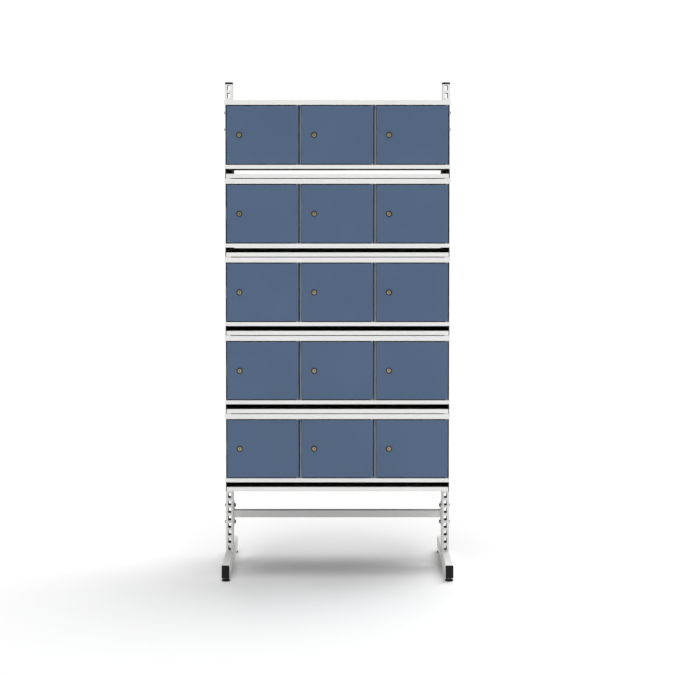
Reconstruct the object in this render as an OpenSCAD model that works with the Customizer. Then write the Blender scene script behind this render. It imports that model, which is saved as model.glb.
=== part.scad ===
// Free-standing rack of coin-operated lockers. Banks of steel lockers stand one above
// another on hook-in arms between two slotted posts, and the posts stand on T-feet.
// Millimetres. +Z is up and -Y is the front, where the doors are. The origin is on the
// floor, midway between the posts. Row 1 is the top bank and column 1 the left door.

/* [Frame] */
// Outer width over the two posts
frame_w = 890; // [880:10:1000]
// Height of the post tubes' upper ends
post_top = 1922; // [1922:30:2222]
// Width of a post across the rack
post_w = 30; // [30:1:34]
// Depth of a post from front to back
post_d = 60; // [50:2:60]
// Wall of the posts, feet and stretcher
tube_t = 2; // [1.5:0.5:3]
// Length of a foot tube from front to back
foot_len = 700; // [690:10:900]
// Height of a foot tube
foot_h = 50; // [40:5:60]
// Height of the stretcher's middle
stretcher_z = 213; // [200:1:220]

/* [Locker banks] */
// Banks of lockers, one above another
rows = 5; // [1:1:5]
// Underside of the lowest bank's carrier
bank_z = 350; // [350:30:380]
// Rear edge of a bank
rear_y = 300; // [200:10:300]
// Width of a bank over its side walls
bank_w = 855; // [850:1:860]
// Height of the folded roof panel
roof_h = 19; // [15:1:19]
// Height of the folded floor panel
floor_h = 15; // [12:1:18]
// Clear height between floor and roof panels
opening_h = 228; // [220:2:228]
// Sheet used for the folded panels
skin_t = 0.8; // [0.7:0.1:1.2]

/* [Carriers] */
// Thickness of a hook-in arm
arm_t = 3; // [2:0.5:4]
// Height of the rails between the arms
rail_h = 16; // [12:1:20]

/* [Doors and locks] */
// Width of a door
door_w = 274; // [270:1:274]
// Depth of a door's folded edges
door_d = 18; // [16:1:18]
// Gap above and below a door
door_gap = 4; // [3:0.5:5]
// Distance from a door's left edge to its lock
backset = 48; // [44:1:52]
// Radius of the lock's brass plug
plug_r = 7.5; // [6:0.5:8]
// Length of the cam from the plug's axis
cam_len = 44; // [42:1:45]

/* [Hidden] */
$fn = 48;
eps = 0.01;
white = "#E4E6E3";
black = "#1E1F1F";
blue = "#5A6E8E";
dark_zinc = "#4A4B4C";
brass = "#B79A54";

// Layout that the banks, arms and slots share
columns = 3;
slot_pitch = 30;
front_y = -350;
arm_h = 35;

// Frame
half_w = frame_w / 2;
post_x = half_w - post_w / 2;
post_in = half_w - post_w;
leveller_h = 14;
foot_top = leveller_h + foot_h;
seat_l = 26;
seat_h = 10;
leveller_y = foot_len / 2 - 26;
stem_r = 5;
stem_play = 0.06;
stem_top = 46;
pad_r = 16;
pad_rim = 6;
neck_r = 9;
neck_z = 9;
nut_r = 8;
nut_h = 4.4;
cap_t = 3;
cap_plug_l = 10;
cap_play = 0.4;
post_cap_h = 8;
post_plug_h = 4;
slot_w = 12;
slot_h = 20;
slot_first = foot_top + 14;
slot_count = floor((post_top - slot_h / 2 - slot_first) / slot_pitch) + 1;
stretcher_s = 30;
end_plate_t = 3;
end_plate_w = 40;
end_plate_h = 92;
bolt_r = 4;
bolt_play = 0.2;
bolt_step = 66;
hex_r = 7.5;
hex_h = 5.5;
dome_r = 6.5;
dome_h = 4;

// Banks
row_pitch = 10 * slot_pitch;
bank_half = bank_w / 2;
lip = 3;
groove_x = post_in - 3;
groove_y = post_d / 2 + 3;
wall_t = 1;
joint_gap = 0.2;
opening_z = arm_h + floor_h;
roof_z = opening_z + opening_h;
column_pitch = door_w + 11.3;
hem_w = 6.5;
hem_d = 8;
hem_lap = 1.75;
partition_y = front_y + door_d + 1;
tie_z = bank_z + (rows - 1) * row_pitch + 227;

// Carriers
arm_x = bank_half - arm_t;
rail_d = 12;
rail_t = 1.5;
tray_t = 1.5;
spacer_s = 20;
spacer_h = 3;
hook_reach = 6;
hook_grip = 2.5;
hook_low = 12;
hook_root = 19;
hook_top = 33;
tab_reach = 4;
tab_low = 1;
tab_top = 7;

// Doors and locks
door_h = opening_h - 2 * door_gap;
door_z = opening_z + door_gap;
sheet_t = 1;
return_w = 12;
hinge_inset = 6;
hinge_y = front_y + hinge_inset;
pin_r = 3;
pin_play = 0.05;
pin_in_door = 12;
collar_r = 5;
block_h = 15;
stiff_x = 150;
stiff_w = 36;
stiff_end = 16;
collar_h = door_gap - 1;
ring_r = 11.5;
ring_h = 3;
barrel_r = 9.5;
case_x = 16;
case_w = 80;
case_h = 116;
case_back = 32;
coin_slot_w = 3.4;
coin_slot_h = 32;
coin_slot_d = 16;
coin_slot_x = case_x + case_w - 18;
coin_slot_z = 14;
coin_return_z = 10 - case_h / 2;
key_w = 2;
key_h = 9;
key_d = 5;
plug_sink = 0.5;
cam_t = 3;
cam_w = 14;
cam_hub = 2;
cam_back = case_back + 1.5;
cam_nut_r = 6;
cam_nut_h = 4;
strike_y = front_y + case_back - 2.5;
strike_reach = 12.3;
strike_t = 2;
strike_h = 50;

STATIC = [
    "upright_posts", "base_feet", "tube_end_caps", "lower_stretcher", "frame_bolts",
    "support_arms", "shelf_trays", "tray_rails", "locker_panels", "locker_walls",
    "hinge_studs"
];
CORNERS = ["front_left", "front_right", "rear_left", "rear_right"];

// Name of a repeated piece, such as door_r1_c3
function place_name(piece, r, c) = str(piece, "_r", r, "_c", c);

// Underside of a bank's carrier
function row_z(r) = bank_z + (rows - r) * row_pitch;

// Left edge of a column's door
function door_left(c) = (c - (columns + 1) / 2) * column_pitch - door_w / 2;

// Middle of the partition to the left of a column
function partition_x(c) = (c - 1 - columns / 2) * column_pitch;

// Inner face of the wall to the left of a column
function left_wall(c) = c == 1 ? -bank_half + wall_t : partition_x(c) + wall_t / 2;

// Half of a bank's plan from front to back, stepping in to pass the post
function half_plan(w, g, gy, y0, y1) = [
    [w, y0], [w, -gy], [g, -gy], [g, gy], [w, gy], [w, y1]
];

// The same half on the other side, from back to front
function other_half(points) = [
    for (i = [len(points) - 1:-1:0]) [-points[i][0], points[i][1]]
];

// Full plan of a bank, notched at both posts
function plan(w, g, gy, y0, y1) = let (right = half_plan(w, g, gy, y0, y1))
    concat(right, other_half(right));

// Repeats a piece on the left
module both_sides() {
    children();
    mirror([1, 0, 0]) children();
}

// Repeats a piece at the back
module front_and_back() {
    children();
    mirror([0, 1, 0]) children();
}

// Box centred on X and Y that stands on a height
module block(size, z) {
    translate([-size[0] / 2, -size[1] / 2, z]) cube(size);
}

// Sideways hole or shaft along X
module along_x(x0, x1, y, z, r) {
    translate([x0, y, z]) rotate([0, 90, 0]) cylinder(r = r, h = x1 - x0);
}

// Hole or shaft along Y
module along_y(y0, y1, x, z, r) {
    translate([x, y0, z]) rotate([-90, 0, 0]) cylinder(r = r, h = y1 - y0);
}

// Heights of the side bolts: two pairs in each post
function bolt_heights() = [for (z = [stretcher_z, tie_z], s = [-1, 1]) z + s * bolt_step / 2];

module post() {
    difference() {
        block([post_w, post_d, post_top - foot_top], foot_top);
        block([post_w - 2 * tube_t, post_d - 2 * tube_t, post_top], foot_top - 1);
        for (k = [0:slot_count - 1]) {
            block([slot_w, post_d + 2, slot_h], slot_first + k * slot_pitch - slot_h / 2);
        }
        for (z = bolt_heights()) {
            along_x(-post_w, post_w, 0, z, bolt_r + bolt_play);
        }
    }
}

module upright_posts() {
    color(white) both_sides() translate([post_x, 0, 0]) post();
}

module base_feet() {
    color(white) both_sides() translate([post_x, 0, 0]) difference() {
        union() {
            difference() {
                block([post_w, foot_len, foot_h], leveller_h);
                block([post_w - 2 * tube_t, foot_len + 2, foot_h - 2 * tube_t],
                    leveller_h + tube_t);
            }
            // Thickened seats for the threaded stems
            front_and_back() translate([0, -leveller_y, 0])
                block([post_w - tube_t, seat_l, seat_h], leveller_h + tube_t / 2);
        }
        front_and_back() translate([0, -leveller_y, 0])
            cylinder(r = stem_r + stem_play, h = leveller_h + 20);
    }
}

// Plugs that close the open ends of the feet and posts
module tube_end_caps() {
    plug_w = post_w - 2 * tube_t - cap_play;
    color(black) both_sides() translate([post_x, 0, 0]) {
        front_and_back() {
            translate([0, -(foot_len + cap_t) / 2, 0]) block([post_w, cap_t, foot_h], leveller_h);
            translate([0, (cap_plug_l - foot_len) / 2, 0])
                block([plug_w, cap_plug_l, foot_h - 2 * tube_t - cap_play],
                    leveller_h + tube_t + cap_play / 2);
        }
        block([post_w, post_d, post_cap_h], post_top);
        block([plug_w, post_d - 2 * tube_t - cap_play, post_plug_h], post_top - post_plug_h);
    }
}

module lower_stretcher() {
    reach = post_in - end_plate_t;
    color(white) {
        difference() {
            block([2 * reach, stretcher_s, stretcher_s], stretcher_z - stretcher_s / 2);
            block([2 * reach + 2, stretcher_s - 2 * tube_t, stretcher_s - 2 * tube_t],
                stretcher_z - stretcher_s / 2 + tube_t);
        }
        both_sides() difference() {
            translate([reach + end_plate_t / 2, 0, 0])
                block([end_plate_t, end_plate_w, end_plate_h], stretcher_z - end_plate_h / 2);
            for (s = [-1, 1]) {
                along_x(reach - 1, post_in + 1, 0, stretcher_z + s * bolt_step / 2,
                    bolt_r + bolt_play);
            }
        }
    }
}

// One through bolt: hexagon inside, shank, and a low dome outside the post
module side_bolt(inner_face, z) {
    along_x(inner_face, half_w, 0, z, bolt_r);
    translate([inner_face - hex_h, 0, z]) rotate([0, 90, 0])
        cylinder(r = hex_r, h = hex_h, $fn = 6);
    translate([half_w, 0, z]) rotate([0, 90, 0])
        rotate_extrude() polygon([
            [0, 0], [dome_r, 0], [dome_r, 1.5], [dome_r - 2, 3.4], [2, dome_h], [0, dome_h]
        ]);
}

module frame_bolts() {
    color(black) both_sides() for (s = [-1, 1]) {
        side_bolt(post_in - end_plate_t, stretcher_z + s * bolt_step / 2);
        side_bolt(groove_x - wall_t, tie_z + s * bolt_step / 2);
    }
}

// Hook-in arm in its own plane: u runs out from the post's face, v up from the carrier
module arm_outline(reach) {
    polygon([
        [0, 0], [reach, 0], [reach, arm_h], [0, arm_h],
        [0, hook_top], [-hook_reach, hook_top], [-hook_reach, hook_low],
        [-hook_grip, hook_low], [-hook_grip, hook_root], [0, hook_root],
        [0, tab_top], [-tab_reach, tab_top], [-tab_reach, tab_low], [0, tab_low]
    ]);
}

// An arm that reaches forwards; the rear one is its mirror image
module arm(reach) {
    translate([arm_x, -post_d / 2, 0]) rotate([90, 0, -90]) mirror([0, 0, 1])
        linear_extrude(arm_t) arm_outline(reach);
}

module support_arms() {
    color(black) for (r = [1:rows]) translate([0, 0, row_z(r)]) both_sides() {
        arm(-front_y - post_d / 2);
        mirror([0, 1, 0]) arm(rear_y - post_d / 2);
    }
}

// Black sheet between the arms, with side edges turned down against them
module shelf_trays() {
    y0 = front_y + rail_d;
    y1 = rear_y - rail_d;
    color(black) for (r = [1:rows]) translate([0, 0, row_z(r)]) {
        translate([0, 0, rail_h - tray_t])
            linear_extrude(tray_t) polygon(plan(arm_x, groove_x, groove_y, y0, y1));
        both_sides() for (y = [[y0, -groove_y], [groove_y, y1]]) {
            translate([arm_x - tray_t, y[0], rail_t])
                cube([tray_t, y[1] - y[0], rail_h - rail_t]);
        }
    }
}

// White tubes between the arm ends, and the pads that keep the banks apart
module tray_rails() {
    color(white) for (r = [1:rows]) translate([0, 0, row_z(r)]) {
        for (y = [front_y, rear_y - rail_d]) {
            translate([0, y + rail_d / 2, 0]) difference() {
                block([2 * arm_x, rail_d, rail_h], 0);
                block([2 * arm_x + 2, rail_d - 2 * rail_t, rail_h - 2 * rail_t], rail_t);
            }
        }
        both_sides() for (y = [front_y + 2, rear_y - 2 - spacer_s]) {
            translate([bank_half - spacer_s, y, -spacer_h])
                cube([spacer_s, spacer_s, spacer_h - joint_gap]);
        }
    }
}

// Folded double-skin panel, open at the back
module folded_panel(h) {
    w = bank_half + lip;
    difference() {
        linear_extrude(h) polygon(plan(w, groove_x, groove_y, front_y, rear_y));
        translate([0, 0, skin_t]) linear_extrude(h - 2 * skin_t)
            polygon(plan(w - skin_t, groove_x - skin_t, groove_y + skin_t,
                front_y + skin_t, rear_y + 1));
    }
}

module locker_panels() {
    color(white) for (r = [1:rows]) translate([0, 0, row_z(r)]) {
        translate([0, 0, arm_h]) folded_panel(floor_h);
        translate([0, 0, roof_z]) folded_panel(roof_h);
    }
}

// Right-hand side wall: one sheet that steps in round the post
module side_wall() {
    outer = half_plan(bank_half, groove_x, groove_y, front_y, rear_y);
    inner = half_plan(bank_half - wall_t, groove_x - wall_t, groove_y + wall_t, front_y, rear_y);
    linear_extrude(opening_h)
        polygon(concat(outer, [for (i = [len(inner) - 1:-1:0]) inner[i]]));
}

// Flat tab on the wall that the cam turns in behind
module strike(c) {
    x = left_wall(c) + joint_gap;
    translate([x, strike_y, (opening_h - strike_h) / 2])
        cube([door_left(c) + strike_reach - x, strike_t, strike_h]);
}

module partition(c) {
    x = partition_x(c);
    depth = rear_y - partition_y;
    linear_extrude(opening_h) {
        difference() {
            translate([x - hem_lap, partition_y]) square([hem_w, hem_d]);
            translate([x - hem_lap + wall_t, partition_y + wall_t])
                square([hem_w - 2 * wall_t, hem_d - 2 * wall_t]);
        }
        translate([x - wall_t / 2, partition_y + hem_d - wall_t])
            square([wall_t, depth - hem_d + wall_t]);
    }
}

module locker_walls() {
    color(white) for (r = [1:rows]) translate([0, 0, row_z(r) + opening_z]) {
        difference() {
            both_sides() side_wall();
            if (r == 1) {
                for (z = [-1, 1]) {
                    along_x(-half_w, half_w, 0, tie_z + z * bolt_step / 2 - row_z(1) - opening_z,
                        bolt_r + bolt_play);
                }
            }
        }
        for (c = [2:columns]) {
            partition(c);
        }
        for (c = [1:columns]) {
            strike(c);
        }
        // Back sheet, which also covers the open ends of the folded panels
        translate([-bank_half - lip, rear_y + joint_gap, -floor_h])
            cube([2 * (bank_half + lip), wall_t, roof_h + floor_h + opening_h]);
    }
}

// Pivot for one end of a door: a collar on the panel, then the pin
module stud(x) {
    translate([x, hinge_y, 0]) {
        cylinder(r = collar_r, h = collar_h);
        cylinder(r = pin_r, h = door_gap + pin_in_door);
    }
}

module hinge_studs() {
    color(dark_zinc) for (r = [1:rows], c = [1:columns]) translate([0, 0, row_z(r)]) {
        x = door_left(c) + door_w - hinge_inset;
        translate([0, 0, opening_z]) stud(x);
        translate([0, 0, roof_z]) mirror([0, 0, 1]) stud(x);
    }
}

// Door pan drawn from its own lower left front corner
module door_pan() {
    difference() {
        union() {
            difference() {
                cube([door_w, door_d, door_h]);
                translate([sheet_t, sheet_t, sheet_t])
                    cube([door_w - 2 * sheet_t, door_d - 2 * sheet_t, door_h - 2 * sheet_t]);
                translate([sheet_t + return_w, sheet_t, sheet_t + return_w])
                    cube([door_w - 2 * (sheet_t + return_w), door_d,
                        door_h - 2 * (sheet_t + return_w)]);
            }
            // Blocks that the pivot pins turn in
            for (z = [0, door_h - block_h]) {
                translate([door_w - 2 * hinge_inset, 0.5, z])
                    cube([2 * hinge_inset - 0.5, door_d - 1, block_h]);
            }
            // Hat-shaped stiffener
            translate([stiff_x, sheet_t / 2, stiff_end]) difference() {
                cube([stiff_w, door_d - 3 * sheet_t, door_h - 2 * stiff_end]);
                translate([sheet_t, -sheet_t, -1])
                    cube([stiff_w - 2 * sheet_t, door_d - 3 * sheet_t, door_h]);
            }
        }
        translate([door_w - hinge_inset, hinge_inset, -1])
            cylinder(r = pin_r + pin_play, h = block_h + 2);
        translate([door_w - hinge_inset, hinge_inset, door_h - block_h - 1])
            cylinder(r = pin_r + pin_play, h = block_h + 2);
        along_y(-1, sheet_t + 1, backset, door_h / 2, barrel_r + 0.1);
    }
}

module door(r, c) {
    color(blue) translate([door_left(c), front_y, row_z(r) + door_z]) door_pan();
}

// Coin lock drawn from the same corner as its door
module coin_lock(r, c) {
    color(dark_zinc) translate([door_left(c), front_y, row_z(r) + door_z + door_h / 2])
        difference() {
            union() {
                along_y(-ring_h, 0, backset, 0, ring_r);
                along_y(-1, case_back - 2, backset, 0, barrel_r);
                translate([case_x, sheet_t, -case_h / 2])
                    cube([case_w, case_back - sheet_t, case_h]);
            }
            along_y(-ring_h - 1, case_back + 1, backset, 0, plug_r + 0.05);
            // Coin slot above the plug and the coin return slot below it
            for (z = [coin_slot_z, coin_return_z]) {
                translate([coin_slot_x, case_back - coin_slot_d, z])
                    cube([coin_slot_w, coin_slot_d + 1, coin_slot_h]);
            }
        }
}

// Brass plug with its key slot, and the cam that it turns
module lock_plug(r, c) {
    translate([door_left(c) + backset, front_y, row_z(r) + door_z + door_h / 2]) {
        color(brass) difference() {
            along_y(plug_sink - ring_h, cam_back, 0, 0, plug_r);
            translate([-key_w / 2, -ring_h, -key_h / 2])
                cube([key_w, ring_h + key_d, key_h]);
        }
        color(dark_zinc) {
            translate([0, joint_gap, 0]) {
                along_y(cam_back, cam_back + cam_t, 0, 0, cam_w / 2 + cam_hub);
                translate([-cam_w / 2, cam_back, 0]) cube([cam_w, cam_t, cam_len]);
            }
            translate([0, cam_back + cam_t + 2 * joint_gap, 0]) rotate([-90, 0, 0])
                cylinder(r = cam_nut_r, h = cam_nut_h, $fn = 6);
        }
    }
}

// Screw-in foot: round pad, hexagon and threaded stem
module leveller(k) {
    side = k % 2 == 0 ? -1 : 1;
    end = k < 2 ? -1 : 1;
    color(black) translate([side * post_x, end * leveller_y, 0]) {
        rotate_extrude()
            polygon([[0, 0], [pad_r, 0], [pad_r, pad_rim], [neck_r, neck_z], [0, neck_z]]);
        translate([0, 0, neck_z - eps]) cylinder(r = nut_r, h = nut_h, $fn = 6);
        translate([0, 0, neck_z]) cylinder(r = stem_r, h = stem_top - neck_z);
    }
}

upright_posts();
base_feet();
tube_end_caps();
lower_stretcher();
frame_bolts();
support_arms();
shelf_trays();
tray_rails();
locker_panels();
locker_walls();
hinge_studs();
for (k = [0:3]) leveller(k);
for (r = [1:rows], c = [1:columns]) {
    door(r, c);
    coin_lock(r, c);
    lock_plug(r, c);
}
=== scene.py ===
"""Looks of a free-standing rack of fifteen coin-operated lockers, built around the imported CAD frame.

Every size starts from the boxes of the CAD nodes. Lengths are metres, +Z is up and -Y is the front."""

import math

import bmesh
import bpy
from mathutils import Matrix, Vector


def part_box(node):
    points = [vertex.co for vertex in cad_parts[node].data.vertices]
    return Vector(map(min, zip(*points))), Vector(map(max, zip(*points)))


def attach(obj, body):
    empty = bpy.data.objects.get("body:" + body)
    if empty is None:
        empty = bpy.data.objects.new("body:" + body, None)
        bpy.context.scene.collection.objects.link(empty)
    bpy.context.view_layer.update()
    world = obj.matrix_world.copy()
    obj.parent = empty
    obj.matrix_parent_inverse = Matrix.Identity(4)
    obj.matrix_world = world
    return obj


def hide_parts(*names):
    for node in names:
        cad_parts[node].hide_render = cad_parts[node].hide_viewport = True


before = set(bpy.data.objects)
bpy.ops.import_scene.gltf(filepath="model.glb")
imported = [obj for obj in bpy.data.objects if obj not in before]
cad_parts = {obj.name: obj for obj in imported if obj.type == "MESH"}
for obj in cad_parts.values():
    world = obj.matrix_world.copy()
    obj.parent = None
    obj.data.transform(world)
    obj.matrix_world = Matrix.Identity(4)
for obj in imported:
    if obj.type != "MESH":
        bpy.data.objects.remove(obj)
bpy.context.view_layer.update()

MM = 0.001
ROWS = range(1, 6)
COLUMNS = range(1, 4)
SIDES = (-1, 1)
ARC_STEPS = 3
ROUND_POINTS = 32

# Camera: a long lens in front of the middle of the rack, at about head height. It looks down by the tilt,
# and the shift does the rest, which keeps upright lines nearly parallel.
SENSOR = 36.0
LENS = 113.48
CAMERA_DISTANCE = 8.4646
CAMERA_HEIGHT = 1.5
CAMERA_TILT = math.radians(2.4855)
CAMERA_SHIFT = -0.08

# Frame
POST_WIDTH = 30 * MM
TUBE_WALL = 2 * MM
TUBE_CORNER = 3.5 * MM
SLOT_PITCH = 30 * MM
SLOT_WIDTH = 12 * MM
SLOT_HEIGHT = 20 * MM
SLOT_CORNER = 2.5 * MM
# Middle of the lowest slot above the post's foot
SLOT_FIRST = 14 * MM
# How much narrower a cap's plug is than the tube outside it
PLUG_LESS = 4.4 * MM
FOOT_PLUG = 10 * MM
POST_PLUG = 4 * MM
STRETCHER = 30 * MM
END_PLATE = 3 * MM
END_PLATE_WIDTH = 40 * MM
# Distance between the two bolts of a pair, and the corner radius of their nuts
BOLT_STEP = 66 * MM
NUT_RADIUS = 7.5 * MM
# A leveller's axis from the end of its foot tube, and the thickened seat that it turns in
LEVELLER_INSET = 26 * MM
SEAT = 26 * MM
SEAT_HEIGHT = 9 * MM

# Sheet metal
SHEET = 1 * MM
BEND = 1.6 * MM
FLOOR_PANEL = 15 * MM
ROOF_PANEL = 19 * MM
HEM_WIDTH = 6.5 * MM
HEM_DEPTH = 8 * MM
# How far the side walls stand in from the panels' edges
WALL_INSET = 3 * MM
# Space between a bank and the post that it steps round
POST_GAP = 3 * MM

# Carriers
ARM = 3 * MM
RAIL_DEPTH = 12 * MM
RAIL_HEIGHT = 16 * MM
TRAY = 1.5 * MM
SPACER = 20 * MM
SPACER_HEIGHT = 3 * MM

# Doors and locks
DOOR_GAP = 4 * MM
DOOR_FLANGE = 12 * MM
HINGE_INSET = 6 * MM
BACKSET = 48 * MM
LOCK_HOLE = 9.6 * MM
CASE_LEFT = 16 * MM
CASE_WIDTH = 80 * MM
# Reach, thickness, height and place of the tab that a cam turns in behind
STRIKE_REACH = 12.3 * MM
STRIKE = 2 * MM
STRIKE_HEIGHT = 50 * MM
STRIKE_BACK = 29.5 * MM

# Brightness of the surroundings as they light the rack, and as the camera sees them
SURROUNDINGS = 0.31
BACKDROP = 1.05

# Faces that meet at more than this angle keep a hard edge
SHARP = math.radians(38)


# ---------------------------------------------------------------- outlines

def neighbours(points):
    """Each point with the one before it and the one after it, round a closed outline."""
    return zip(points[-1:] + points[:-1], points, points[1:] + points[:1])


def rectangle(width, height, centre=(0, 0)):
    """Counter-clockwise corners of a rectangle."""
    x, y = centre
    return [
        Vector((x + sx * width / 2, y + sy * height / 2))
        for sx, sy in ((-1, -1), (1, -1), (1, 1), (-1, 1))
    ]


def arc(centre, radius, first, last, steps):
    """Points on an arc, both ends included."""
    turn = (last - first + math.pi) % (2 * math.pi) - math.pi
    angles = [first + turn * k / steps for k in range(steps + 1)]
    return [centre + radius * Vector((math.cos(a), math.sin(a))) for a in angles]


def fillet(points, radius, closed=True, steps=ARC_STEPS):
    """The outline with its corners turned into arcs, and how worn its points are: 1 inside an arc, else 0."""
    made, worn = [], []
    for k, (before, corner, after) in enumerate(neighbours(points)):
        if not closed and k in (0, len(points) - 1):
            made.append(corner.copy())
            worn.append(0.0)
            continue
        to_before = (before - corner).normalized()
        to_after = (after - corner).normalized()
        half = to_before.angle(to_after) / 2
        centre = corner + (to_before + to_after).normalized() * radius / math.sin(half)
        start = corner + to_before * radius / math.tan(half) - centre
        end = corner + to_after * radius / math.tan(half) - centre
        made += arc(centre, radius, math.atan2(start.y, start.x), math.atan2(end.y, end.x), steps)
        worn += [0.0] + [1.0] * (steps - 1) + [0.0]
    return made, worn


def inset(points, distance):
    """A counter-clockwise outline moved inwards."""
    moved = []
    for before, here, after in neighbours(points):
        first = (here - before).normalized().orthogonal()
        second = (after - here).normalized().orthogonal()
        moved.append(here + (first + second) * distance / (1 + first.dot(second)))
    return moved


def thicken(path, thickness):
    """The closed outline of a sheet that has that thickness to the left of an open path."""
    left = []
    for k, here in enumerate(path):
        before = path[max(k - 1, 0)]
        after = path[min(k + 1, len(path) - 1)]
        first = (here - before if k else after - here).normalized().orthogonal()
        second = (after - here if k < len(path) - 1 else here - before).normalized().orthogonal()
        left.append(here + (first + second) * thickness / (1 + first.dot(second)))
    return path + left[::-1]


def circle(radius, count=ROUND_POINTS):
    """Points round a circle."""
    return [radius * Vector((math.cos(a), math.sin(a))) for a in angles_round(count)]


def angles_round(count):
    """Equal angles round a full turn."""
    return [2 * math.pi * k / count for k in range(count)]


def slit(width, height, count=ROUND_POINTS):
    """Points round a rectangle, at the same angles as a circle's."""
    made = []
    for a in angles_round(count):
        reach = min(width / 2 / max(abs(math.cos(a)), 1e-6), height / 2 / max(abs(math.sin(a)), 1e-6))
        made.append(reach * Vector((math.cos(a), math.sin(a))))
    return made


def hexagon(radius, count=ROUND_POINTS):
    """Points round a hexagon with that corner radius, at the same angles as a circle's."""
    sector = math.pi / 3
    flat = radius * math.cos(sector / 2)
    return [
        flat / math.cos(a % sector - sector / 2) * Vector((math.cos(a), math.sin(a)))
        for a in angles_round(count)
    ]


# ------------------------------------------------------------ solids in a bmesh

def upright(x=0, y=0, z=0):
    """Outline in plan, height along Z."""
    return lambda u, v, w: Vector((x + u, y + v, z + w))


def facing(x=0, y=0, z=0):
    """Outline seen from the front, depth along +Y."""
    return lambda u, v, w: Vector((x + u, y + w, z + v))


def sideways(x=0, y=0, z=0, side=1):
    """Outline seen from the side, thickness along +X, or along -X where side is -1."""
    return lambda u, v, w: Vector((x + side * w, y + u, z + v))


def new_mesh():
    """An empty bmesh whose vertices say how worn they are."""
    mesh = bmesh.new()
    mesh.verts.layers.float.new("wear")
    return mesh


def ring(mesh, points, place, height, worn=None, always=0.0):
    """One closed ring of vertices at a height."""
    layer = mesh.verts.layers.float["wear"]
    made = []
    for k, p in enumerate(points):
        vertex = mesh.verts.new(place(p.x, p.y, height))
        vertex[layer] = max(always, worn[k] if worn else 0.0)
        made.append(vertex)
    return made


def skin(mesh, rings, closed=False):
    """Quads between rings of equal length. A closed skin also joins the last ring to the first."""
    pairs = list(zip(rings, rings[1:]))
    if closed:
        pairs.append((rings[-1], rings[0]))
    for low, high in pairs:
        for i in range(len(low)):
            j = (i + 1) % len(low)
            mesh.faces.new((low[i], low[j], high[j], high[i]))


def cap(mesh, outer, *holes):
    """Closes a flat ring, leaving the holes open."""
    if not holes:
        mesh.faces.new(outer)
        return
    edges = []
    for loop in (outer, *holes):
        for a, b in zip(loop, loop[1:] + loop[:1]):
            edges.append(mesh.edges.get((a, b)) or mesh.edges.new((a, b)))
    bmesh.ops.triangle_fill(mesh, use_beauty=True, edges=edges)


def rim(edge, low, high):
    """(inset, height, worn) of the rings that round both rims of a solid from low to high."""
    quarter = [math.pi / 2 * k / ARC_STEPS for k in range(ARC_STEPS + 1)]
    curve = [
        (edge * (1 - math.sin(a)), edge * (1 - math.cos(a)), float(0 < k < ARC_STEPS))
        for k, a in enumerate(quarter)
    ]
    return [(i, low + h, w) for i, h, w in curve] + [(i, high - h, w) for i, h, w in curve[::-1]]


def prism(mesh, outline, low, high, place, corner=1 * MM, edge=0.6 * MM):
    """A solid with an outline's shape, rounded corners and rounded rims."""
    points, worn = fillet(outline, corner) if corner else (outline, None)
    rings = [
        ring(mesh, inset(points, i), place, height, worn, always)
        for i, height, always in rim(edge, low, high)
    ]
    skin(mesh, rings)
    cap(mesh, rings[0])
    cap(mesh, rings[-1])


def tube(mesh, outline, wall, low, high, place, corner=TUBE_CORNER):
    """A hollow section, open at both ends."""
    points, worn = fillet(outline, corner)
    inner = inset(points, wall)
    outer_rings = [ring(mesh, points, place, h, worn) for h in (low, high)]
    inner_rings = [ring(mesh, inner, place, h) for h in (high, low)]
    skin(mesh, outer_rings + inner_rings, closed=True)


def folded_sheet(mesh, path, thickness, low, high, place, bend=BEND):
    """A sheet folded along a path, with its thickness to the left of the path."""
    points, _ = fillet(path, bend, closed=False)
    outline = thicken(points, thickness)
    rings = [ring(mesh, outline, place, h) for h in (low, high)]
    skin(mesh, rings)
    cap(mesh, rings[0])
    cap(mesh, rings[-1])


def turned(mesh, profile, place, closed=False):
    """A lathe-turned solid from (radius or ring of points, height, worn) rows."""
    rings = []
    for shape, height, always in profile:
        points = shape if isinstance(shape, list) else circle(shape)
        rings.append(ring(mesh, points, place, height, None, always))
    skin(mesh, rings, closed)
    if not closed:
        cap(mesh, rings[0])
        cap(mesh, rings[-1])


def rows_of(*pairs):
    """Profile rows with no wear."""
    return [(shape, height, 0.0) for shape, height in pairs]


def finish_piece(name, mesh, body, material, slot, *nodes):
    """Turns the bmesh into a piece that rides on a body and stands for CAD nodes."""
    bmesh.ops.recalc_face_normals(mesh, faces=mesh.faces)
    data = bpy.data.meshes.new(name)
    mesh.to_mesh(data)
    mesh.free()
    data.shade_smooth()
    data.set_sharp_from_angle(angle=SHARP)
    data.materials.append(material)
    piece = bpy.data.objects.new(name, data)
    bpy.context.scene.collection.objects.link(piece)
    normals = piece.modifiers.new("Flat faces stay flat", "WEIGHTED_NORMAL")
    normals.keep_sharp = True
    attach(piece, body)
    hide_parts(*nodes)
    return piece


# --------------------------------------------------------------- materials

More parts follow.
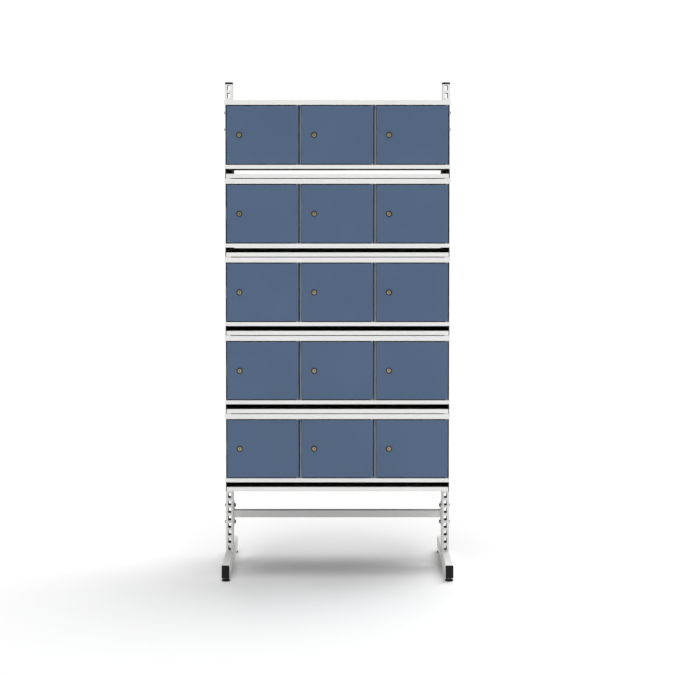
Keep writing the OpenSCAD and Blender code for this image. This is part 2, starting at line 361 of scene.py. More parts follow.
class Nodes:
    """A short way to build a material's node tree."""

    def __init__(self, name):
        self.material = bpy.data.materials.new(name)
        self.material.use_nodes = True
        self.tree = self.material.node_tree
        self.tree.nodes.clear()
        self.shader = self.add("ShaderNodeBsdfPrincipled")
        output = self.add("ShaderNodeOutputMaterial")
        self.link(self.shader.outputs["BSDF"], output.inputs["Surface"])
        self.place = self.add("ShaderNodeTexCoord").outputs["Object"]

    def add(self, kind, **settings):
        node = self.tree.nodes.new(kind)
        for key, value in settings.items():
            setattr(node, key, value)
        return node

    def link(self, source, target):
        self.tree.links.new(source, target)

    def stretched(self, scale):
        """Place coordinates scaled by a vector."""
        mapping = self.add("ShaderNodeMapping")
        self.link(self.place, mapping.inputs["Vector"])
        mapping.inputs["Scale"].default_value = scale
        return mapping.outputs["Vector"]

    def noise(self, scale, detail=2.0, roughness=0.5, vector=None):
        node = self.add("ShaderNodeTexNoise")
        self.link(vector or self.place, node.inputs["Vector"])
        node.inputs["Scale"].default_value = scale
        node.inputs["Detail"].default_value = detail
        node.inputs["Roughness"].default_value = roughness
        return node.outputs["Fac"]

    def remap(self, value, low, high, to_low, to_high):
        node = self.add("ShaderNodeMapRange", clamp=True)
        self.link(value, node.inputs["Value"])
        keys = ("From Min", "From Max", "To Min", "To Max")
        for key, number in zip(keys, (low, high, to_low, to_high)):
            node.inputs[key].default_value = number
        return node.outputs["Result"]

    def multiply(self, a, b):
        node = self.add("ShaderNodeMath", operation="MULTIPLY")
        self.link(a, node.inputs[0])
        self.link(b, node.inputs[1])
        return node.outputs["Value"]

    def mix(self, share, a, b):
        """Mixes two colours, each a fixed colour or a socket."""
        node = self.add("ShaderNodeMix", data_type="RGBA")
        self.link(share, node.inputs["Factor"])
        for key, colour in (("A", a), ("B", b)):
            socket = next(s for s in node.inputs if s.name == key and s.type == "RGBA")
            if isinstance(colour, tuple):
                socket.default_value = (*colour, 1)
            else:
                self.link(colour, socket)
        return next(s for s in node.outputs if s.type == "RGBA")

    def bump(self, height, strength, distance, below=None):
        node = self.add("ShaderNodeBump")
        self.link(height, node.inputs["Height"])
        node.inputs["Strength"].default_value = strength
        node.inputs["Distance"].default_value = distance
        if below:
            self.link(below, node.inputs["Normal"])
        return node.outputs["Normal"]


def surface(name, light, dark, worn, rough, grain, metallic=0.0, waves=0.0, patch=4.0, stretch=None,
        shine=0.5):
    """A finish: slow colour variation from light to dark, a worn colour on edges, roughness between two
    values with faint smears, and a grain of (size, height). Waves is the height of a slow unevenness in
    the sheet, patch is how fine the variation is, stretch draws the grain out along an axis, and shine is
    the strength of the clear reflection."""
    n = Nodes(name)
    variation = n.noise(patch, detail=3)
    smears = n.noise(38, detail=6, roughness=0.65)
    wear = n.add("ShaderNodeAttribute", attribute_name="wear").outputs["Fac"]
    broken_wear = n.multiply(wear, n.remap(smears, 0.42, 0.62, 0, 1))
    shade = n.mix(n.remap(variation, 0.3, 0.7, 0, 1), light, dark)
    n.link(n.mix(broken_wear, shade, worn), n.shader.inputs["Base Color"])
    n.link(n.remap(smears, 0.3, 0.7, *rough), n.shader.inputs["Roughness"])
    size, height = grain
    grain_vector = n.stretched(stretch) if stretch else None
    normal = n.bump(n.noise(1 / size, detail=2, vector=grain_vector), 0.6, height)
    if waves:
        normal = n.bump(n.noise(7, detail=1), 1.0, waves, normal)
    n.link(normal, n.shader.inputs["Normal"])
    n.shader.inputs["Metallic"].default_value = metallic
    n.shader.inputs["Specular IOR Level"].default_value = shine
    return n.material


def scaled(colour, factor):
    """A colour made lighter or darker."""
    return tuple(c * factor for c in colour)


def make_materials():
    """A procedural material for each of the record's slots, and a greyer copy of the white paint for the
    partitions, darkened as painted shade for their recessed front edges.
    """
    white, blue = (0.91, 0.92, 0.90), (0.077, 0.132, 0.233)
    brass, zinc = (0.46, 0.40, 0.22), (0.50, 0.50, 0.49)
    return {
        "white_paint": surface("white_powder_coat", white, scaled(white, 0.965), (0.86, 0.86, 0.85),
            (0.36, 0.50), (1.3 * MM, 0.05 * MM), waves=0.25 * MM),
        "blue_paint": surface("slate_blue_powder_coat", blue, scaled(blue, 0.90), (0.16, 0.22, 0.32),
            (0.38, 0.52), (1.1 * MM, 0.06 * MM), waves=0.5 * MM, patch=3.0),
        "black_paint": surface("black_textured_paint", (0.016, 0.016, 0.017), (0.010, 0.010, 0.011),
            (0.06, 0.06, 0.06), (0.55, 0.72), (1.8 * MM, 0.12 * MM), shine=0.3),
        "black_plastic": surface("black_moulded_plastic", (0.012, 0.012, 0.012), (0.008, 0.008, 0.008),
            (0.05, 0.05, 0.05), (0.42, 0.58), (0.7 * MM, 0.05 * MM), shine=0.2),
        "black_steel": surface("blackened_steel", (0.030, 0.030, 0.032), (0.018, 0.018, 0.019),
            (0.22, 0.21, 0.20), (0.36, 0.52), (0.9 * MM, 0.03 * MM), metallic=0.5),
        "bright_steel": surface("zinc_plated_steel", zinc, (0.40, 0.41, 0.43), (0.66, 0.66, 0.65),
            (0.26, 0.42), (0.5 * MM, 0.02 * MM), metallic=1.0, patch=90.0, stretch=(1, 1, 0.15)),
        "lock_case": surface("dark_die_cast_zinc", (0.030, 0.032, 0.032), (0.020, 0.022, 0.022),
            (0.09, 0.09, 0.085), (0.38, 0.50), (0.8 * MM, 0.03 * MM), metallic=0.4, shine=0.35),
        "brass": surface("worn_brass", brass, (0.30, 0.26, 0.13), (0.72, 0.63, 0.38),
            (0.22, 0.36), (0.35 * MM, 0.02 * MM), metallic=1.0, patch=160.0, stretch=(1, 1, 0.12)),
        # The partitions are white: this grey is the white paint darkened as painted shade for their hems,
        # recessed between the doors.
        "partition_shade_grey": surface("white_coat_with_painted_shade", (0.56, 0.57, 0.58), (0.53, 0.54, 0.55),
            (0.66, 0.66, 0.66), (0.40, 0.54), (1.3 * MM, 0.05 * MM), waves=0.25 * MM),
    }


MATERIALS = make_materials()


def finish_root(name, mesh, slot, *nodes):
    """A piece of the fixed rack."""
    return finish_piece(name, mesh, "root", MATERIALS[slot], slot, *nodes)


# ------------------------------------------------------------------ the frame

def post_mesh(x, low, high):
    """A slotted post: a rounded tube with a row of slots up its front and back faces."""
    mesh = new_mesh()
    place = upright(x)
    points, worn = fillet(rectangle(POST_WIDTH, high.y - low.y), TUBE_CORNER)
    inner = inset(points, TUBE_WALL)
    count = int((high.z - SLOT_HEIGHT / 2 - low.z - SLOT_FIRST) / SLOT_PITCH + 1e-6) + 1
    centres = [low.z + SLOT_FIRST + k * SLOT_PITCH for k in range(count)]
    margin = SLOT_HEIGHT / 2 + 2 * MM
    halfway = [(a + b) / 2 for a, b in zip(centres, centres[1:])]
    levels = [low.z, centres[0] - margin] + halfway + [centres[-1] + margin, high.z]
    outer_rings = [ring(mesh, points, place, z, worn) for z in levels]
    inner_rings = [ring(mesh, inner, place, z) for z in levels]
    corner_points = ARC_STEPS + 1
    slotted = (ARC_STEPS, 2 * corner_points + ARC_STEPS)
    hole, _ = fillet(rectangle(SLOT_WIDTH, SLOT_HEIGHT), SLOT_CORNER)
    for i in range(len(points)):
        j = (i + 1) % len(points)
        face_y = points[i].y, inner[i].y
        for k in range(len(levels) - 1):
            quads = [
                (rings[k][i], rings[k][j], rings[k + 1][j], rings[k + 1][i])
                for rings in (outer_rings, inner_rings)
            ]
            if i in slotted and 0 < k <= count:
                edges = [
                    pierced(mesh, quad, hole, facing(x, y, centres[k - 1]))
                    for quad, y in zip(quads, face_y)
                ]
                skin(mesh, edges)
            else:
                for quad in quads:
                    mesh.faces.new(quad)
    for outer, inside in ((outer_rings[0], inner_rings[0]), (outer_rings[-1], inner_rings[-1])):
        skin(mesh, [outer, inside])
    return mesh


def pierced(mesh, quad, hole, place):
    """Faces of an upright quad round a hole with rounded corners. Returns the hole's ring."""
    made = ring(mesh, hole, place, 0)
    middle = sum((v.co for v in made), Vector()) / len(made)
    corners = sorted(quad, key=lambda v: math.atan2(v.co.z - middle.z, v.co.x - middle.x))
    per_corner = ARC_STEPS + 1
    for c in range(4):
        corner = corners[c]
        arc_points = made[c * per_corner:(c + 1) * per_corner]
        for a, b in zip(arc_points, arc_points[1:]):
            mesh.faces.new((corner, b, a))
        next_point = made[(c + 1) * per_corner % len(made)]
        mesh.faces.new((corner, corners[(c + 1) % 4], next_point, arc_points[-1]))
    return made


def make_posts():
    """Both posts, each with its slots."""
    low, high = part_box("upright_posts")
    for name, side in (("left", -1), ("right", 1)):
        middle_x = side * (high.x - POST_WIDTH / 2)
        mesh = post_mesh(middle_x, low, high)
        # The inside of the tube has the second material, near-black steel: partly bare steel where the paint
        # doesn't reach, partly painted shade that darkens the slots
        inside_x, inside_y = (POST_WIDTH - TUBE_WALL) / 2, high.y - TUBE_WALL / 2
        for face in mesh.faces:
            if all(abs(v.co.x - middle_x) < inside_x and abs(v.co.y) < inside_y for v in face.verts):
                face.material_index = 1
        post = finish_root(f"upright_{name}", mesh, "white_paint", "upright_posts")
        post.data.materials.append(MATERIALS["black_steel"])


def make_feet():
    """Foot tubes with thickened seats for the levellers inside."""
    low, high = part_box("base_feet")
    height = high.z - low.z
    middle_z = (low.z + high.z) / 2
    for name, side in (("left", -1), ("right", 1)):
        mesh = new_mesh()
        x = side * (high.x - POST_WIDTH / 2)
        tube(mesh, rectangle(POST_WIDTH, height), TUBE_WALL, low.y, high.y, facing(x, 0, middle_z))
        for end in SIDES:
            on_floor = upright(x, end * (high.y - LEVELLER_INSET), low.z + TUBE_WALL)
            prism(mesh, rectangle(SEAT, SEAT), 0, SEAT_HEIGHT, on_floor)
        finish_root(f"foot_{name}", mesh, "white_paint", "base_feet")


def end_cap(mesh, width, height, thickness, place):
    """A moulded tube cap: a rounded border round a face that is a little lower."""
    edge, border, slope, depth = 1.4 * MM, 3.2 * MM, 0.4 * MM, 0.5 * MM
    points, worn = fillet(rectangle(width, height), TUBE_CORNER)
    rings = [ring(mesh, points, place, 0, worn)]
    for i, h, w in rim(edge, 0, thickness)[ARC_STEPS + 1:]:
        rings.append(ring(mesh, inset(points, i), place, h, worn, w))
    rings.append(ring(mesh, inset(points, border), place, thickness))
    rings.append(ring(mesh, inset(points, border + slope), place, thickness - depth))
    skin(mesh, rings)
    cap(mesh, rings[0])
    cap(mesh, rings[-1])


def make_caps():
    """Caps with a plug behind them, in both ends of the feet and on the posts."""
    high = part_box("tube_end_caps")[1]
    foot_low, foot_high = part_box("base_feet")
    post_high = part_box("upright_posts")[1]
    foot_height = foot_high.z - foot_low.z
    middle_z = (foot_low.z + foot_high.z) / 2
    half_plug = FOOT_PLUG / 2
    mesh = new_mesh()
    for side in SIDES:
        x = side * (high.x - POST_WIDTH / 2)
        for end in SIDES:
            out = lambda u, v, w: Vector((x + u, end * (foot_high.y + w), middle_z + v))
            end_cap(mesh, POST_WIDTH, foot_height, high.y - foot_high.y, out)
            inside = facing(x, end * (foot_high.y - half_plug), middle_z)
            plug = rectangle(POST_WIDTH - PLUG_LESS, foot_height - PLUG_LESS)
            prism(mesh, plug, -half_plug, half_plug, inside)
    finish_root("foot_caps", mesh, "black_plastic", "tube_end_caps")

    post_depth = 2 * post_high.y
    mesh = new_mesh()
    for side in SIDES:
        top = upright(side * (high.x - POST_WIDTH / 2), 0, post_high.z)
        end_cap(mesh, POST_WIDTH, post_depth, high.z - post_high.z, top)
        prism(mesh, rectangle(POST_WIDTH - PLUG_LESS, post_depth - PLUG_LESS), -POST_PLUG, 0, top)
    finish_root("post_caps", mesh, "black_plastic", "tube_end_caps")


def make_stretcher():
    """The cross tube near the floor, welded to an end plate at each post."""
    low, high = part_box("lower_stretcher")
    middle_z = (low.z + high.z) / 2
    bead, bead_length = 1.5 * MM, 2 * MM
    mesh = new_mesh()
    along = lambda u, v, w: Vector((w, u, middle_z + v))
    tube(mesh, rectangle(STRETCHER, STRETCHER), TUBE_WALL, low.x + END_PLATE, high.x - END_PLATE, along)
    for side in SIDES:
        place = sideways(side * (high.x - END_PLATE), 0, middle_z, side)
        plate = rectangle(END_PLATE_WIDTH, high.z - low.z)
        prism(mesh, plate, 0, END_PLATE, place, corner=3 * MM)
        weld = rectangle(STRETCHER + 2 * bead, STRETCHER + 2 * bead)
        tube(mesh, weld, bead, -bead_length, 0, place, corner=4 * MM)
    finish_root("lower_stretcher_tube", mesh, "white_paint", "lower_stretcher")


def make_bolts():
    """Button-head bolts with a hexagon socket outside the posts, and nuts inside."""
    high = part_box("frame_bolts")[1]
    post_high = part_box("upright_posts")[1]
    stretcher_low, stretcher_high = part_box("lower_stretcher")
    plate_x = stretcher_high.x - END_PLATE
    wall_x = notch_x() - SHEET
    stretcher_z = (stretcher_low.z + stretcher_high.z) / 2
    tie_top = high.z - NUT_RADIUS
    # Height of each bolt, and how far out the sheet is that its nut holds
    bolts = {stretcher_z - BOLT_STEP / 2: plate_x, stretcher_z + BOLT_STEP / 2: plate_x,
        tie_top - BOLT_STEP: wall_x, tie_top: wall_x}
    mesh = new_mesh()
    for side in SIDES:
        for z, nut_x in bolts.items():
            head = sideways(side * post_high.x, 0, z, side)
            turned(mesh, [
                (4 * MM, -34 * MM, 0), (4 * MM, 0, 0), (6.8 * MM, 0, 0), (6.8 * MM, 1.1 * MM, 0.3),
                (6.2 * MM, 2.3 * MM, 1), (4.9 * MM, 3.4 * MM, 1), (3.3 * MM, 4 * MM, 0.4),
                (hexagon(2.9 * MM), 4 * MM, 0.2), (hexagon(2.7 * MM), 1.6 * MM, 0)
            ], head)
            nut = sideways(side * nut_x, 0, z, -side)
            turned(mesh, rows_of((8.6 * MM, 0), (8.6 * MM, 1 * MM), (8.2 * MM, 1.2 * MM)), nut)
            turned(mesh, [
                (hexagon(7.3 * MM), 1.2 * MM, 0), (hexagon(7.5 * MM), 1.6 * MM, 0.5),
                (hexagon(7.5 * MM), 4.8 * MM, 0.5), (hexagon(6.6 * MM), 5.5 * MM, 0.6),
                (4.4 * MM, 5.5 * MM, 0), (4 * MM, 5.1 * MM, 0)
            ], nut)
    finish_root("side_bolts", mesh, "black_steel", "frame_bolts")


def make_levellers():
    """A moulded pad with a threaded steel stem at each end of both feet."""
    pitch, threads = 1.5 * MM, 21
    for corner in ("front_left", "front_right", "rear_left", "rear_right"):
        node = f"leveller_{corner}"
        low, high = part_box(node)
        centre = (low + high) / 2
        place = upright(centre.x, centre.y, low.z)
        mesh = new_mesh()
        turned(mesh, [
            (14.6 * MM, 0, 0), (15.6 * MM, 0.5 * MM, 0.5), (16 * MM, 1.4 * MM, 0.5),
            (16 * MM, 5 * MM, 0.4), (15.4 * MM, 6 * MM, 0.8), (12.5 * MM, 6.9 * MM, 0.3),
            (9.6 * MM, 8.4 * MM, 0), (8.8 * MM, 9 * MM, 0)
        ], place)
        finish_piece(f"{node}_pad", mesh, node, MATERIALS["black_plastic"], "black_plastic", node)
        mesh = new_mesh()
        turned(mesh, [
            (hexagon(7.4 * MM), 9 * MM, 0.3), (hexagon(8 * MM), 9.5 * MM, 0.5),
            (hexagon(8 * MM), 12.9 * MM, 0.5), (hexagon(7.4 * MM), 13.4 * MM, 0.3)
        ], place)
        half_turns = range(2 * threads + 1)
        thread = [(5 * MM if k % 2 else 4.3 * MM, 13 * MM + k * pitch / 2, 0) for k in half_turns]
        turned(mesh, thread + [(3.6 * MM, 46 * MM, 0)], place)
        finish_piece(f"{node}_stem", mesh, node, MATERIALS["bright_steel"], "bright_steel", node)


# ------------------------------------------------------------------ carriers

def notch_x():
    """Distance from the middle at which a bank passes the inner side of a post."""
    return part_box("upright_posts")[1].x - POST_WIDTH - POST_GAP


def notch_y():
    """Distance in front of and behind the middle at which a bank steps in for a post."""
    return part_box("upright_posts")[1].y + POST_GAP


def half_plan(half_width, front, rear):
    """Right half of a bank's plan from front to back, stepping in to pass the post."""
    x, y = notch_x(), notch_y()
    return [Vector(p) for p in (
        (half_width, front), (half_width, -y), (x, -y), (x, y), (half_width, y), (half_width, rear)
    )]


def bank_plan(half_width, front, rear):
    """Plan of a bank, stepping in to pass both posts."""
    right = half_plan(half_width, front, rear)
    return right + [Vector((-p.x, p.y)) for p in reversed(right)]


def arm_outline(reach, height):
    """Hook-in arm seen from the side: u runs away from the post's face."""
    return [Vector((u * MM, v * MM)) for u, v in (
        (0, 0), (reach / MM, 0), (reach / MM, height / MM), (0, height / MM), (0, 33), (-6, 33), (-6, 12),
        (-2.5, 12), (-2.5, 19), (0, 19), (0, 7), (-4, 7), (-4, 1), (0, 1)
    )]


def make_carriers():
    """Arms, tray and rails under each bank."""
    arms_low, arms_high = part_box("support_arms")
    rails_low, rails_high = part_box("tray_rails")
    trays_low, trays_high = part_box("shelf_trays")
    post_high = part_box("upright_posts")[1]
    pitch = row_pitch()
    arm_height = arms_high.z - arms_low.z - (len(ROWS) - 1) * pitch
    half = arms_high.x - ARM
    flange_low, flange_high = 1.5 * MM, 14.9 * MM
    for r in ROWS:
        base = arms_low.z + (ROWS[-1] - r) * pitch
        mesh = new_mesh()
        for side in SIDES:
            for end, reach in ((-1, -arms_low.y - post_high.y), (1, arms_high.y - post_high.y)):
                place = lambda u, v, w: Vector(
                    (side * (arms_high.x - w), end * (post_high.y + u), base + v))
                outline = arm_outline(reach, arm_height)
                prism(mesh, outline, 0, ARM, place, corner=0.45 * MM, edge=0.4 * MM)
        finish_root(f"support_arms_r{r}", mesh, "black_paint", "support_arms")

        mesh = new_mesh()
        front, rear = trays_low.y, trays_high.y
        plan = bank_plan(half, front, rear)
        prism(mesh, plan, RAIL_HEIGHT - TRAY, RAIL_HEIGHT, upright(0, 0, base), 1.5 * MM, edge=0.5 * MM)
        for side in SIDES:
            for y0, y1 in ((front, -notch_y()), (notch_y(), rear)):
                middle = ((y0 + y1) / 2, (flange_low + flange_high) / 2)
                flange = rectangle(y1 - y0, flange_high - flange_low, middle)
                prism(mesh, flange, 0, TRAY, sideways(side * half, 0, base, -side), edge=0.4 * MM)
        finish_root(f"shelf_tray_r{r}", mesh, "black_paint", "shelf_trays")

        mesh = new_mesh()
        for y in (rails_low.y + RAIL_DEPTH / 2, rails_high.y - RAIL_DEPTH / 2):
            along = lambda u, v, w: Vector((w, y + u, base + RAIL_HEIGHT / 2 + v))
            tube(mesh, rectangle(RAIL_DEPTH, RAIL_HEIGHT), TRAY, -half, half, along, corner=2 * MM)
        for side in SIDES:
            for y in (rails_low.y + RAIL_DEPTH, rails_high.y - RAIL_DEPTH):
                place = upright(side * (arms_high.x - SPACER / 2), y, base - SPACER_HEIGHT)
                prism(mesh, rectangle(SPACER, SPACER), 0, SPACER_HEIGHT - 0.2 * MM, place, corner=2 * MM)
        finish_root(f"tray_rails_r{r}", mesh, "white_paint", "tray_rails")


# -------------------------------------------------------------- locker banks

def row_pitch():
    """Height from one bank to the next."""
    top, bottom = (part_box(f"door_r{r}_c1")[0].z for r in (ROWS[0], ROWS[-1]))
    return (top - bottom) / (len(ROWS) - 1)


def make_banks():
    """Floor, roof, side walls, partitions, back and strikes of each bank."""
    panels_low, panels_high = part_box("locker_panels")
    walls_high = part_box("locker_walls")[1]
    pitch = row_pitch()
    half = panels_high.x
    wall_x = half - WALL_INSET
    front, rear = panels_low.y, panels_high.y
    plan = bank_plan(half, front, rear)
    wall_path = half_plan(wall_x, front, rear)
    for r in ROWS:
        floor_z = panels_low.z + (ROWS[-1] - r) * pitch
        opening_z = floor_z + FLOOR_PANEL
        roof_z = panels_high.z - ROOF_PANEL - (r - ROWS[0]) * pitch
        roof_top = roof_z + ROOF_PANEL
        for name, z0, z1 in (("floor", floor_z, opening_z), ("roof", roof_z, roof_top)):
            mesh = new_mesh()
            prism(mesh, plan, z0, z1, upright(), corner=2 * MM, edge=BEND)
            finish_root(f"{name}_panel_r{r}", mesh, "white_paint", "locker_panels")

        mesh = new_mesh()
        for side in SIDES:
            folded_sheet(mesh, wall_path, SHEET, opening_z, roof_z, lambda u, v, w: Vector((side * u, v, w)))
        finish_root(f"bank_walls_r{r}", mesh, "white_paint", "locker_walls")

        mesh = new_mesh()
        for c in COLUMNS[1:]:
            partition(mesh, c, opening_z, roof_z, rear)
        # The partitions take a grey that is painted shade of their recessed hems, in place of the white paint
        # of their slot.
        finish_piece(f"partitions_r{r}", mesh, "root", MATERIALS["partition_shade_grey"], "white_paint", "locker_walls")

        mesh = new_mesh()
        sheet = rectangle(2 * half, roof_top - floor_z, (0, (roof_top + floor_z) / 2))
        prism(mesh, sheet, rear + 0.2 * MM, walls_high.y, facing(), corner=2 * MM, edge=0.4 * MM)
        finish_root(f"back_sheet_r{r}", mesh, "white_paint", "locker_walls")

        mesh = new_mesh()
        for c in COLUMNS:
            strike(mesh, r, c, wall_x)
        finish_root(f"cam_strikes_r{r}", mesh, "white_paint", "locker_walls")


def partition_x(c):
    """Middle of the partition to the left of a column."""
    return (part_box(f"door_r1_c{c - 1}")[1].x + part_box(f"door_r1_c{c}")[0].x) / 2


def partition(mesh, c, low, high, rear):
    """A web with a closed hem along its front edge."""
    x, y = partition_x(c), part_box(f"door_r1_c{c}")[1].y + 1 * MM
    hem_side, lap = 1.5 * MM, 0.4 * MM
    hem = rectangle(HEM_WIDTH, HEM_DEPTH, (x + hem_side, y + HEM_DEPTH / 2))
    tube(mesh, hem, SHEET, low, high, upright(), corner=1 * MM)
    web_front = y + HEM_DEPTH - lap
    web = rectangle(SHEET, rear - web_front, (x, (rear + web_front) / 2))
    prism(mesh, web, low, high, upright(), corner=0, edge=0.2 * MM)


def strike(mesh, r, c, side_wall):
    """The tab that a cam turns in behind, on the wall to the left of its door."""
    door_low, door_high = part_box(f"door_r{r}_c{c}")
    wall = SHEET - side_wall if c == 1 else partition_x(c) + SHEET / 2
    tip = door_low.x + STRIKE_REACH
    outline = rectangle(tip - wall, STRIKE_HEIGHT, ((wall + tip) / 2, (door_low.z + door_high.z) / 2))
    y = door_low.y + STRIKE_BACK
    prism(mesh, outline, y, y + STRIKE, facing(), corner=2 * MM)


def make_hinge_studs():
    """A collar and a chamfered pin at both ends of each door."""
    stud = rows_of((4.6 * MM, 0), (5 * MM, 0.3 * MM), (5 * MM, 2.7 * MM), (4.6 * MM, 3 * MM),
        (3 * MM, 3 * MM), (3 * MM, 15.2 * MM), (2.3 * MM, 16 * MM))
    for r in ROWS:
        mesh = new_mesh()
        for c in COLUMNS:
            door_low, door_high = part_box(f"door_r{r}_c{c}")
            x, y = door_high.x - HINGE_INSET, door_low.y + HINGE_INSET
            turned(mesh, stud, upright(x, y, door_low.z - DOOR_GAP))
            turned(mesh, stud, lambda u, v, w: Vector((x + u, y + v, door_high.z + DOOR_GAP - w)))
        finish_root(f"hinge_studs_r{r}", mesh, "bright_steel", "hinge_studs")


# ------------------------------------------------------------ doors and locks

def door_mesh(low, high):
    """A folded pan: front skin, four returns and four flanges, with the lock's hole in the skin."""
    mesh = new_mesh()
    width, depth, height = high - low
    place = facing(low.x, low.y, low.z)
    points, worn = fillet(rectangle(width, height, (width / 2, height / 2)), 1.2 * MM)
    outer = rim(BEND, 0, depth)
    inner = [(i + SHEET, d, 0.0) for i, d, _ in rim(BEND - SHEET, SHEET, depth - SHEET)]
    profile = outer + [(DOOR_FLANGE, depth, 0.0), (DOOR_FLANGE, depth - SHEET, 0.0)] + inner[::-1]
    rings = [ring(mesh, inset(points, i), place, d, worn, w) for i, d, w in profile]
    skin(mesh, rings)
    lock = lambda u, v, w: place(BACKSET + u, height / 2 + v, w)
    holes = [ring(mesh, circle(LOCK_HOLE), lock, d) for d in (0, SHEET)]
    skin(mesh, holes)
    cap(mesh, rings[0], holes[0])
    cap(mesh, rings[-1], holes[1])
    return mesh


def add_stiffener(mesh, low, high):
    """Hat section up the inside of the door."""
    left, width, brim, end = low.x + 151 * MM, 34 * MM, 9 * MM, 16 * MM
    right = left + width
    y0, y1 = low.y + SHEET, low.y + 14.5 * MM
    path = [Vector(p) for p in (
        (left - brim, y0), (left, y0), (left, y1), (right, y1), (right, y0), (right + brim, y0)
    )]
    folded_sheet(mesh, path, SHEET, low.z + end, high.z - end, upright())


def add_pivot_blocks(mesh, low, high):
    """Blocks that the pivot pins turn in, set in the pan's two right-hand corners."""
    width, depth, height = 11 * MM, 15 * MM, 14 * MM
    outline = rectangle(width, depth, (high.x - width / 2 - SHEET, (low.y + high.y) / 2))
    for z in (low.z + SHEET, high.z - SHEET - height):
        prism(mesh, outline, z, z + height, upright())


def make_doors():
    """Each door with its stiffener and pivot blocks, on its own body."""
    for r in ROWS:
        for c in COLUMNS:
            node = f"door_r{r}_c{c}"
            low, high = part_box(node)
            mesh = door_mesh(low, high)
            add_stiffener(mesh, low, high)
            add_pivot_blocks(mesh, low, high)
            finish_piece(f"{node}_pan", mesh, node, MATERIALS["blue_paint"], "blue_paint", node)


def lock_case_mesh(low, high, door_low):
    """Coin box behind the door: a rounded body with two mouths, a hole for the plug and four cover screws
    in its rear face."""
    mesh = new_mesh()
    width, height = CASE_WIDTH, high.z - low.z
    front, rear = door_low.y + SHEET, high.y
    middle_x = CASE_LEFT + width / 2
    place = facing(door_low.x + middle_x, 0, (low.z + high.z) / 2)
    points, worn = fillet(rectangle(width, height), 5 * MM)
    rings = [ring(mesh, inset(points, i), place, d, worn, w) for i, d, w in rim(2 * MM, front, rear)]
    skin(mesh, rings)
    cap(mesh, rings[0])
    # The coin goes in at the upper mouth and comes back at the lower one
    slots = []
    for z in (30 * MM, -32 * MM):
        mouth, _ = fillet(rectangle(3.4 * MM, 32 * MM, (23.7 * MM, z)), 1.2 * MM)
        lip = [ring(mesh, inset(mouth, -i), place, d) for i, d in ((0.5 * MM, rear), (0, rear - 0.5 * MM))]
        deep = ring(mesh, mouth, place, rear - 15 * MM)
        skin(mesh, lip + [deep])
        cap(mesh, deep)
        slots.append(lip[0])
    on_axis = lambda u, v, w: place(u + BACKSET - middle_x, v, w)
    plug_hole, hole_floor = (ring(mesh, circle(8.2 * MM), on_axis, d) for d in (rear, rear - 3 * MM))
    skin(mesh, [plug_hole, hole_floor])
    cap(mesh, hole_floor)
    cap(mesh, rings[-1], plug_hole, *slots)
    screw_x, screw_z = width / 2 - 8 * MM, height / 2 - 8 * MM
    for sx in SIDES:
        for sz in SIDES:
            turned(mesh, [
                (3 * MM, -0.3 * MM, 0), (3 * MM, 0.3 * MM, 0.6), (2.4 * MM, 1 * MM, 1),
                (1.6 * MM, 1.3 * MM, 0.4), (slit(1.1 * MM, 2.6 * MM), 1.3 * MM, 0),
                (slit(0.9 * MM, 2.4 * MM), 0.5 * MM, 0)
            ], lambda u, v, w: place(sx * screw_x + u, sz * screw_z + v, rear + w))
    return mesh


def lock_ring_mesh(place):
    """Rosette on the door's face, with the barrel that passes through the skin."""
    mesh = new_mesh()
    turned(mesh, [
        (7.65 * MM, 28 * MM, 0), (7.65 * MM, -2.3 * MM, 0), (8.0 * MM, -2.8 * MM, 1),
        (8.5 * MM, -3 * MM, 0.3), (9.9 * MM, -3 * MM, 0), (10.7 * MM, -2.8 * MM, 1),
        (11.2 * MM, -2.3 * MM, 1), (11.5 * MM, -1.5 * MM, 0.5), (11.5 * MM, 0, 0),
        (9.5 * MM, 0, 0), (9.5 * MM, 28 * MM, 0)
    ], place, closed=True)
    return mesh


def lock_plug_mesh(place, length):
    """Brass plug with a stepped face and a key slot."""
    mesh = new_mesh()
    turned(mesh, [
        (7.5 * MM, length, 0), (7.5 * MM, -2.0 * MM, 0), (7.3 * MM, -2.35 * MM, 1),
        (6.9 * MM, -2.5 * MM, 0.6), (5.6 * MM, -2.5 * MM, 0), (5.3 * MM, -2.25 * MM, 0.5),
        (slit(2.2 * MM, 8.8 * MM), -2.25 * MM, 0),
        (slit(1.8 * MM, 8.4 * MM), -1.8 * MM, 0), (slit(1.8 * MM, 8.4 * MM), 4 * MM, 0)
    ], place)
    return mesh


def lock_cam_mesh(place, back, tip):
    """Flat cam with a rounded tip, held by a nut."""
    mesh = new_mesh()
    half_width, tail, thickness = 7 * MM, -2 * MM, 3 * MM
    turned(mesh, [
        (8.6 * MM, back, 0), (9 * MM, back + 0.4 * MM, 0.6), (9 * MM, back + 2.6 * MM, 0.6),
        (8.6 * MM, back + thickness, 0)
    ], place)
    blade = rectangle(2 * half_width, tip - tail, (0, (tip + tail) / 2))
    prism(mesh, blade, back, back + thickness, place, corner=3 * MM, edge=0.5 * MM)
    nut = back + 3.4 * MM
    turned(mesh, [
        (hexagon(5.6 * MM), nut, 0.3), (hexagon(6 * MM), nut + 0.4 * MM, 0.6),
        (hexagon(6 * MM), nut + 3 * MM, 0.6), (hexagon(5.3 * MM), nut + 3.6 * MM, 0.6),
        (3.2 * MM, nut + 3.6 * MM, 0), (3 * MM, nut + 3.2 * MM, 0)
    ], place)
    return mesh


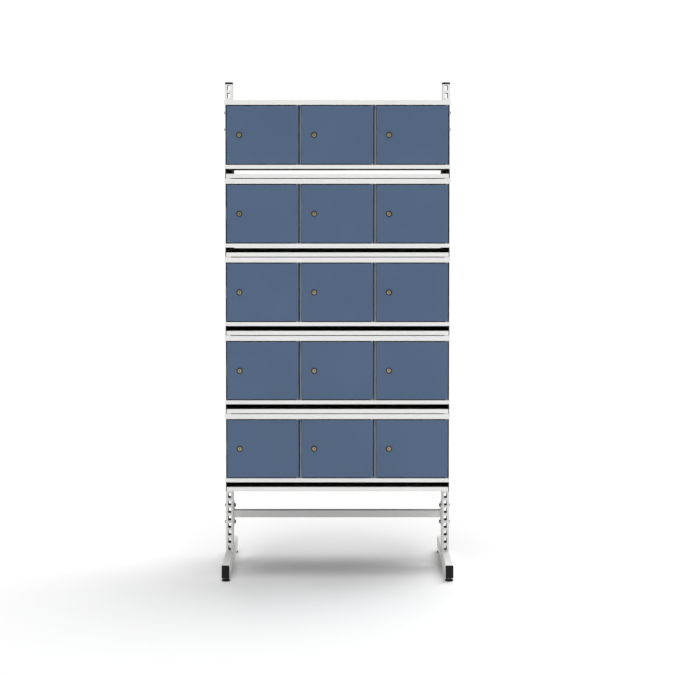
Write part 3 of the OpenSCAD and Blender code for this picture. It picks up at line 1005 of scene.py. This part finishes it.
def make_locks():
    """The case and rosette ride on the door, and the plug and its cam on the plug's body."""
    plug_length, cam_back = 33.5 * MM, 33.7 * MM
    for r in ROWS:
        for c in COLUMNS:
            door_body, plug_body = f"door_r{r}_c{c}", f"plug_r{r}_c{c}"
            node, plug = f"coin_lock_r{r}_c{c}", f"lock_plug_r{r}_c{c}"
            door_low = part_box(door_body)[0]
            low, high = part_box(node)
            axis_z = (low.z + high.z) / 2
            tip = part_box(plug)[1].z - axis_z
            place = facing(door_low.x + BACKSET, door_low.y, axis_z)

            mesh = lock_case_mesh(low, high, door_low)
            finish_piece(f"{node}_case", mesh, door_body, MATERIALS["lock_case"], "lock_case", node)
            mesh = lock_ring_mesh(place)
            finish_piece(f"{node}_rosette", mesh, door_body, MATERIALS["lock_case"], "lock_case", node)
            mesh = lock_plug_mesh(place, plug_length)
            finish_piece(f"{plug}_core", mesh, plug_body, MATERIALS["brass"], "brass", plug)
            mesh = lock_cam_mesh(place, cam_back, tip)
            finish_piece(f"{plug}_cam", mesh, plug_body, MATERIALS["bright_steel"], "bright_steel", plug)


# ---------------------------------------------------------------- the studio

def make_camera():
    """The camera that the photograph was matched with."""
    data = bpy.data.cameras.new("camera")
    data.sensor_width = SENSOR
    data.lens = LENS
    data.shift_y = CAMERA_SHIFT
    data.clip_end = 200
    camera = bpy.data.objects.new("camera", data)
    camera.location = (0, -CAMERA_DISTANCE, CAMERA_HEIGHT)
    camera.rotation_euler = (math.pi / 2 - CAMERA_TILT, 0, 0)
    bpy.context.scene.collection.objects.link(camera)
    bpy.context.scene.camera = camera


def make_floor():
    """A wide pale floor that runs out of sight."""
    half = 40
    data = bpy.data.meshes.new("studio_floor")
    corners = [(x, y, 0) for x, y in ((-half, -half), (half, -half), (half, half), (-half, half))]
    data.from_pydata(corners, [], [(0, 1, 2, 3)])
    n = Nodes("studio_floor")
    n.link(n.mix(n.noise(0.8), (0.975, 0.975, 0.975), (0.96, 0.96, 0.96)), n.shader.inputs["Base Color"])
    n.link(n.remap(n.noise(6, detail=3), 0.3, 0.7, 0.75, 0.85), n.shader.inputs["Roughness"])
    data.materials.append(n.material)
    floor = bpy.data.objects.new("studio_floor", data)
    bpy.context.scene.collection.objects.link(floor)


def soft_light(name, azimuth, elevation, width, radiance):
    """A distant soft light. Azimuth 0 is behind the camera and 90 is to the right, width is its spread in
    degrees, and radiance is how bright a white sheet that faces it becomes."""
    data = bpy.data.lights.new(name, "SUN")
    data.angle = math.radians(width)
    data.energy = radiance * math.pi
    light = bpy.data.objects.new(name, data)
    light.rotation_mode = "QUATERNION"
    a, e = math.radians(azimuth), math.radians(elevation)
    source = Vector((math.sin(a) * math.cos(e), -math.cos(a) * math.cos(e), math.sin(e)))
    light.rotation_quaternion = source.to_track_quat("Z", "Y")
    bpy.context.scene.collection.objects.link(light)


def make_light():
    """Pale surroundings that look white to the camera, a wide light from behind on the upper right, and a
    fill from above the camera."""
    world = bpy.data.worlds.new("studio")
    world.use_nodes = True
    nodes, links = world.node_tree.nodes, world.node_tree.links
    background = nodes["Background"]
    path = nodes.new("ShaderNodeLightPath")
    strength = nodes.new("ShaderNodeMapRange")
    strength.inputs["To Min"].default_value = SURROUNDINGS
    strength.inputs["To Max"].default_value = BACKDROP
    links.new(path.outputs["Is Camera Ray"], strength.inputs["Value"])
    links.new(strength.outputs["Result"], background.inputs["Strength"])
    background.inputs["Color"].default_value = (1, 1, 1, 1)
    bpy.context.scene.world = world
    bpy.context.scene.view_settings.view_transform = "Standard"
    soft_light("key", 145, 57, 55, 0.51)
    soft_light("fill", 0, 59, 45, 0.45)


def main():
    make_camera()
    make_posts()
    make_feet()
    make_caps()
    make_stretcher()
    make_bolts()
    make_levellers()
    make_carriers()
    make_banks()
    make_hinge_studs()
    make_doors()
    make_locks()
    make_floor()
    make_light()


main()
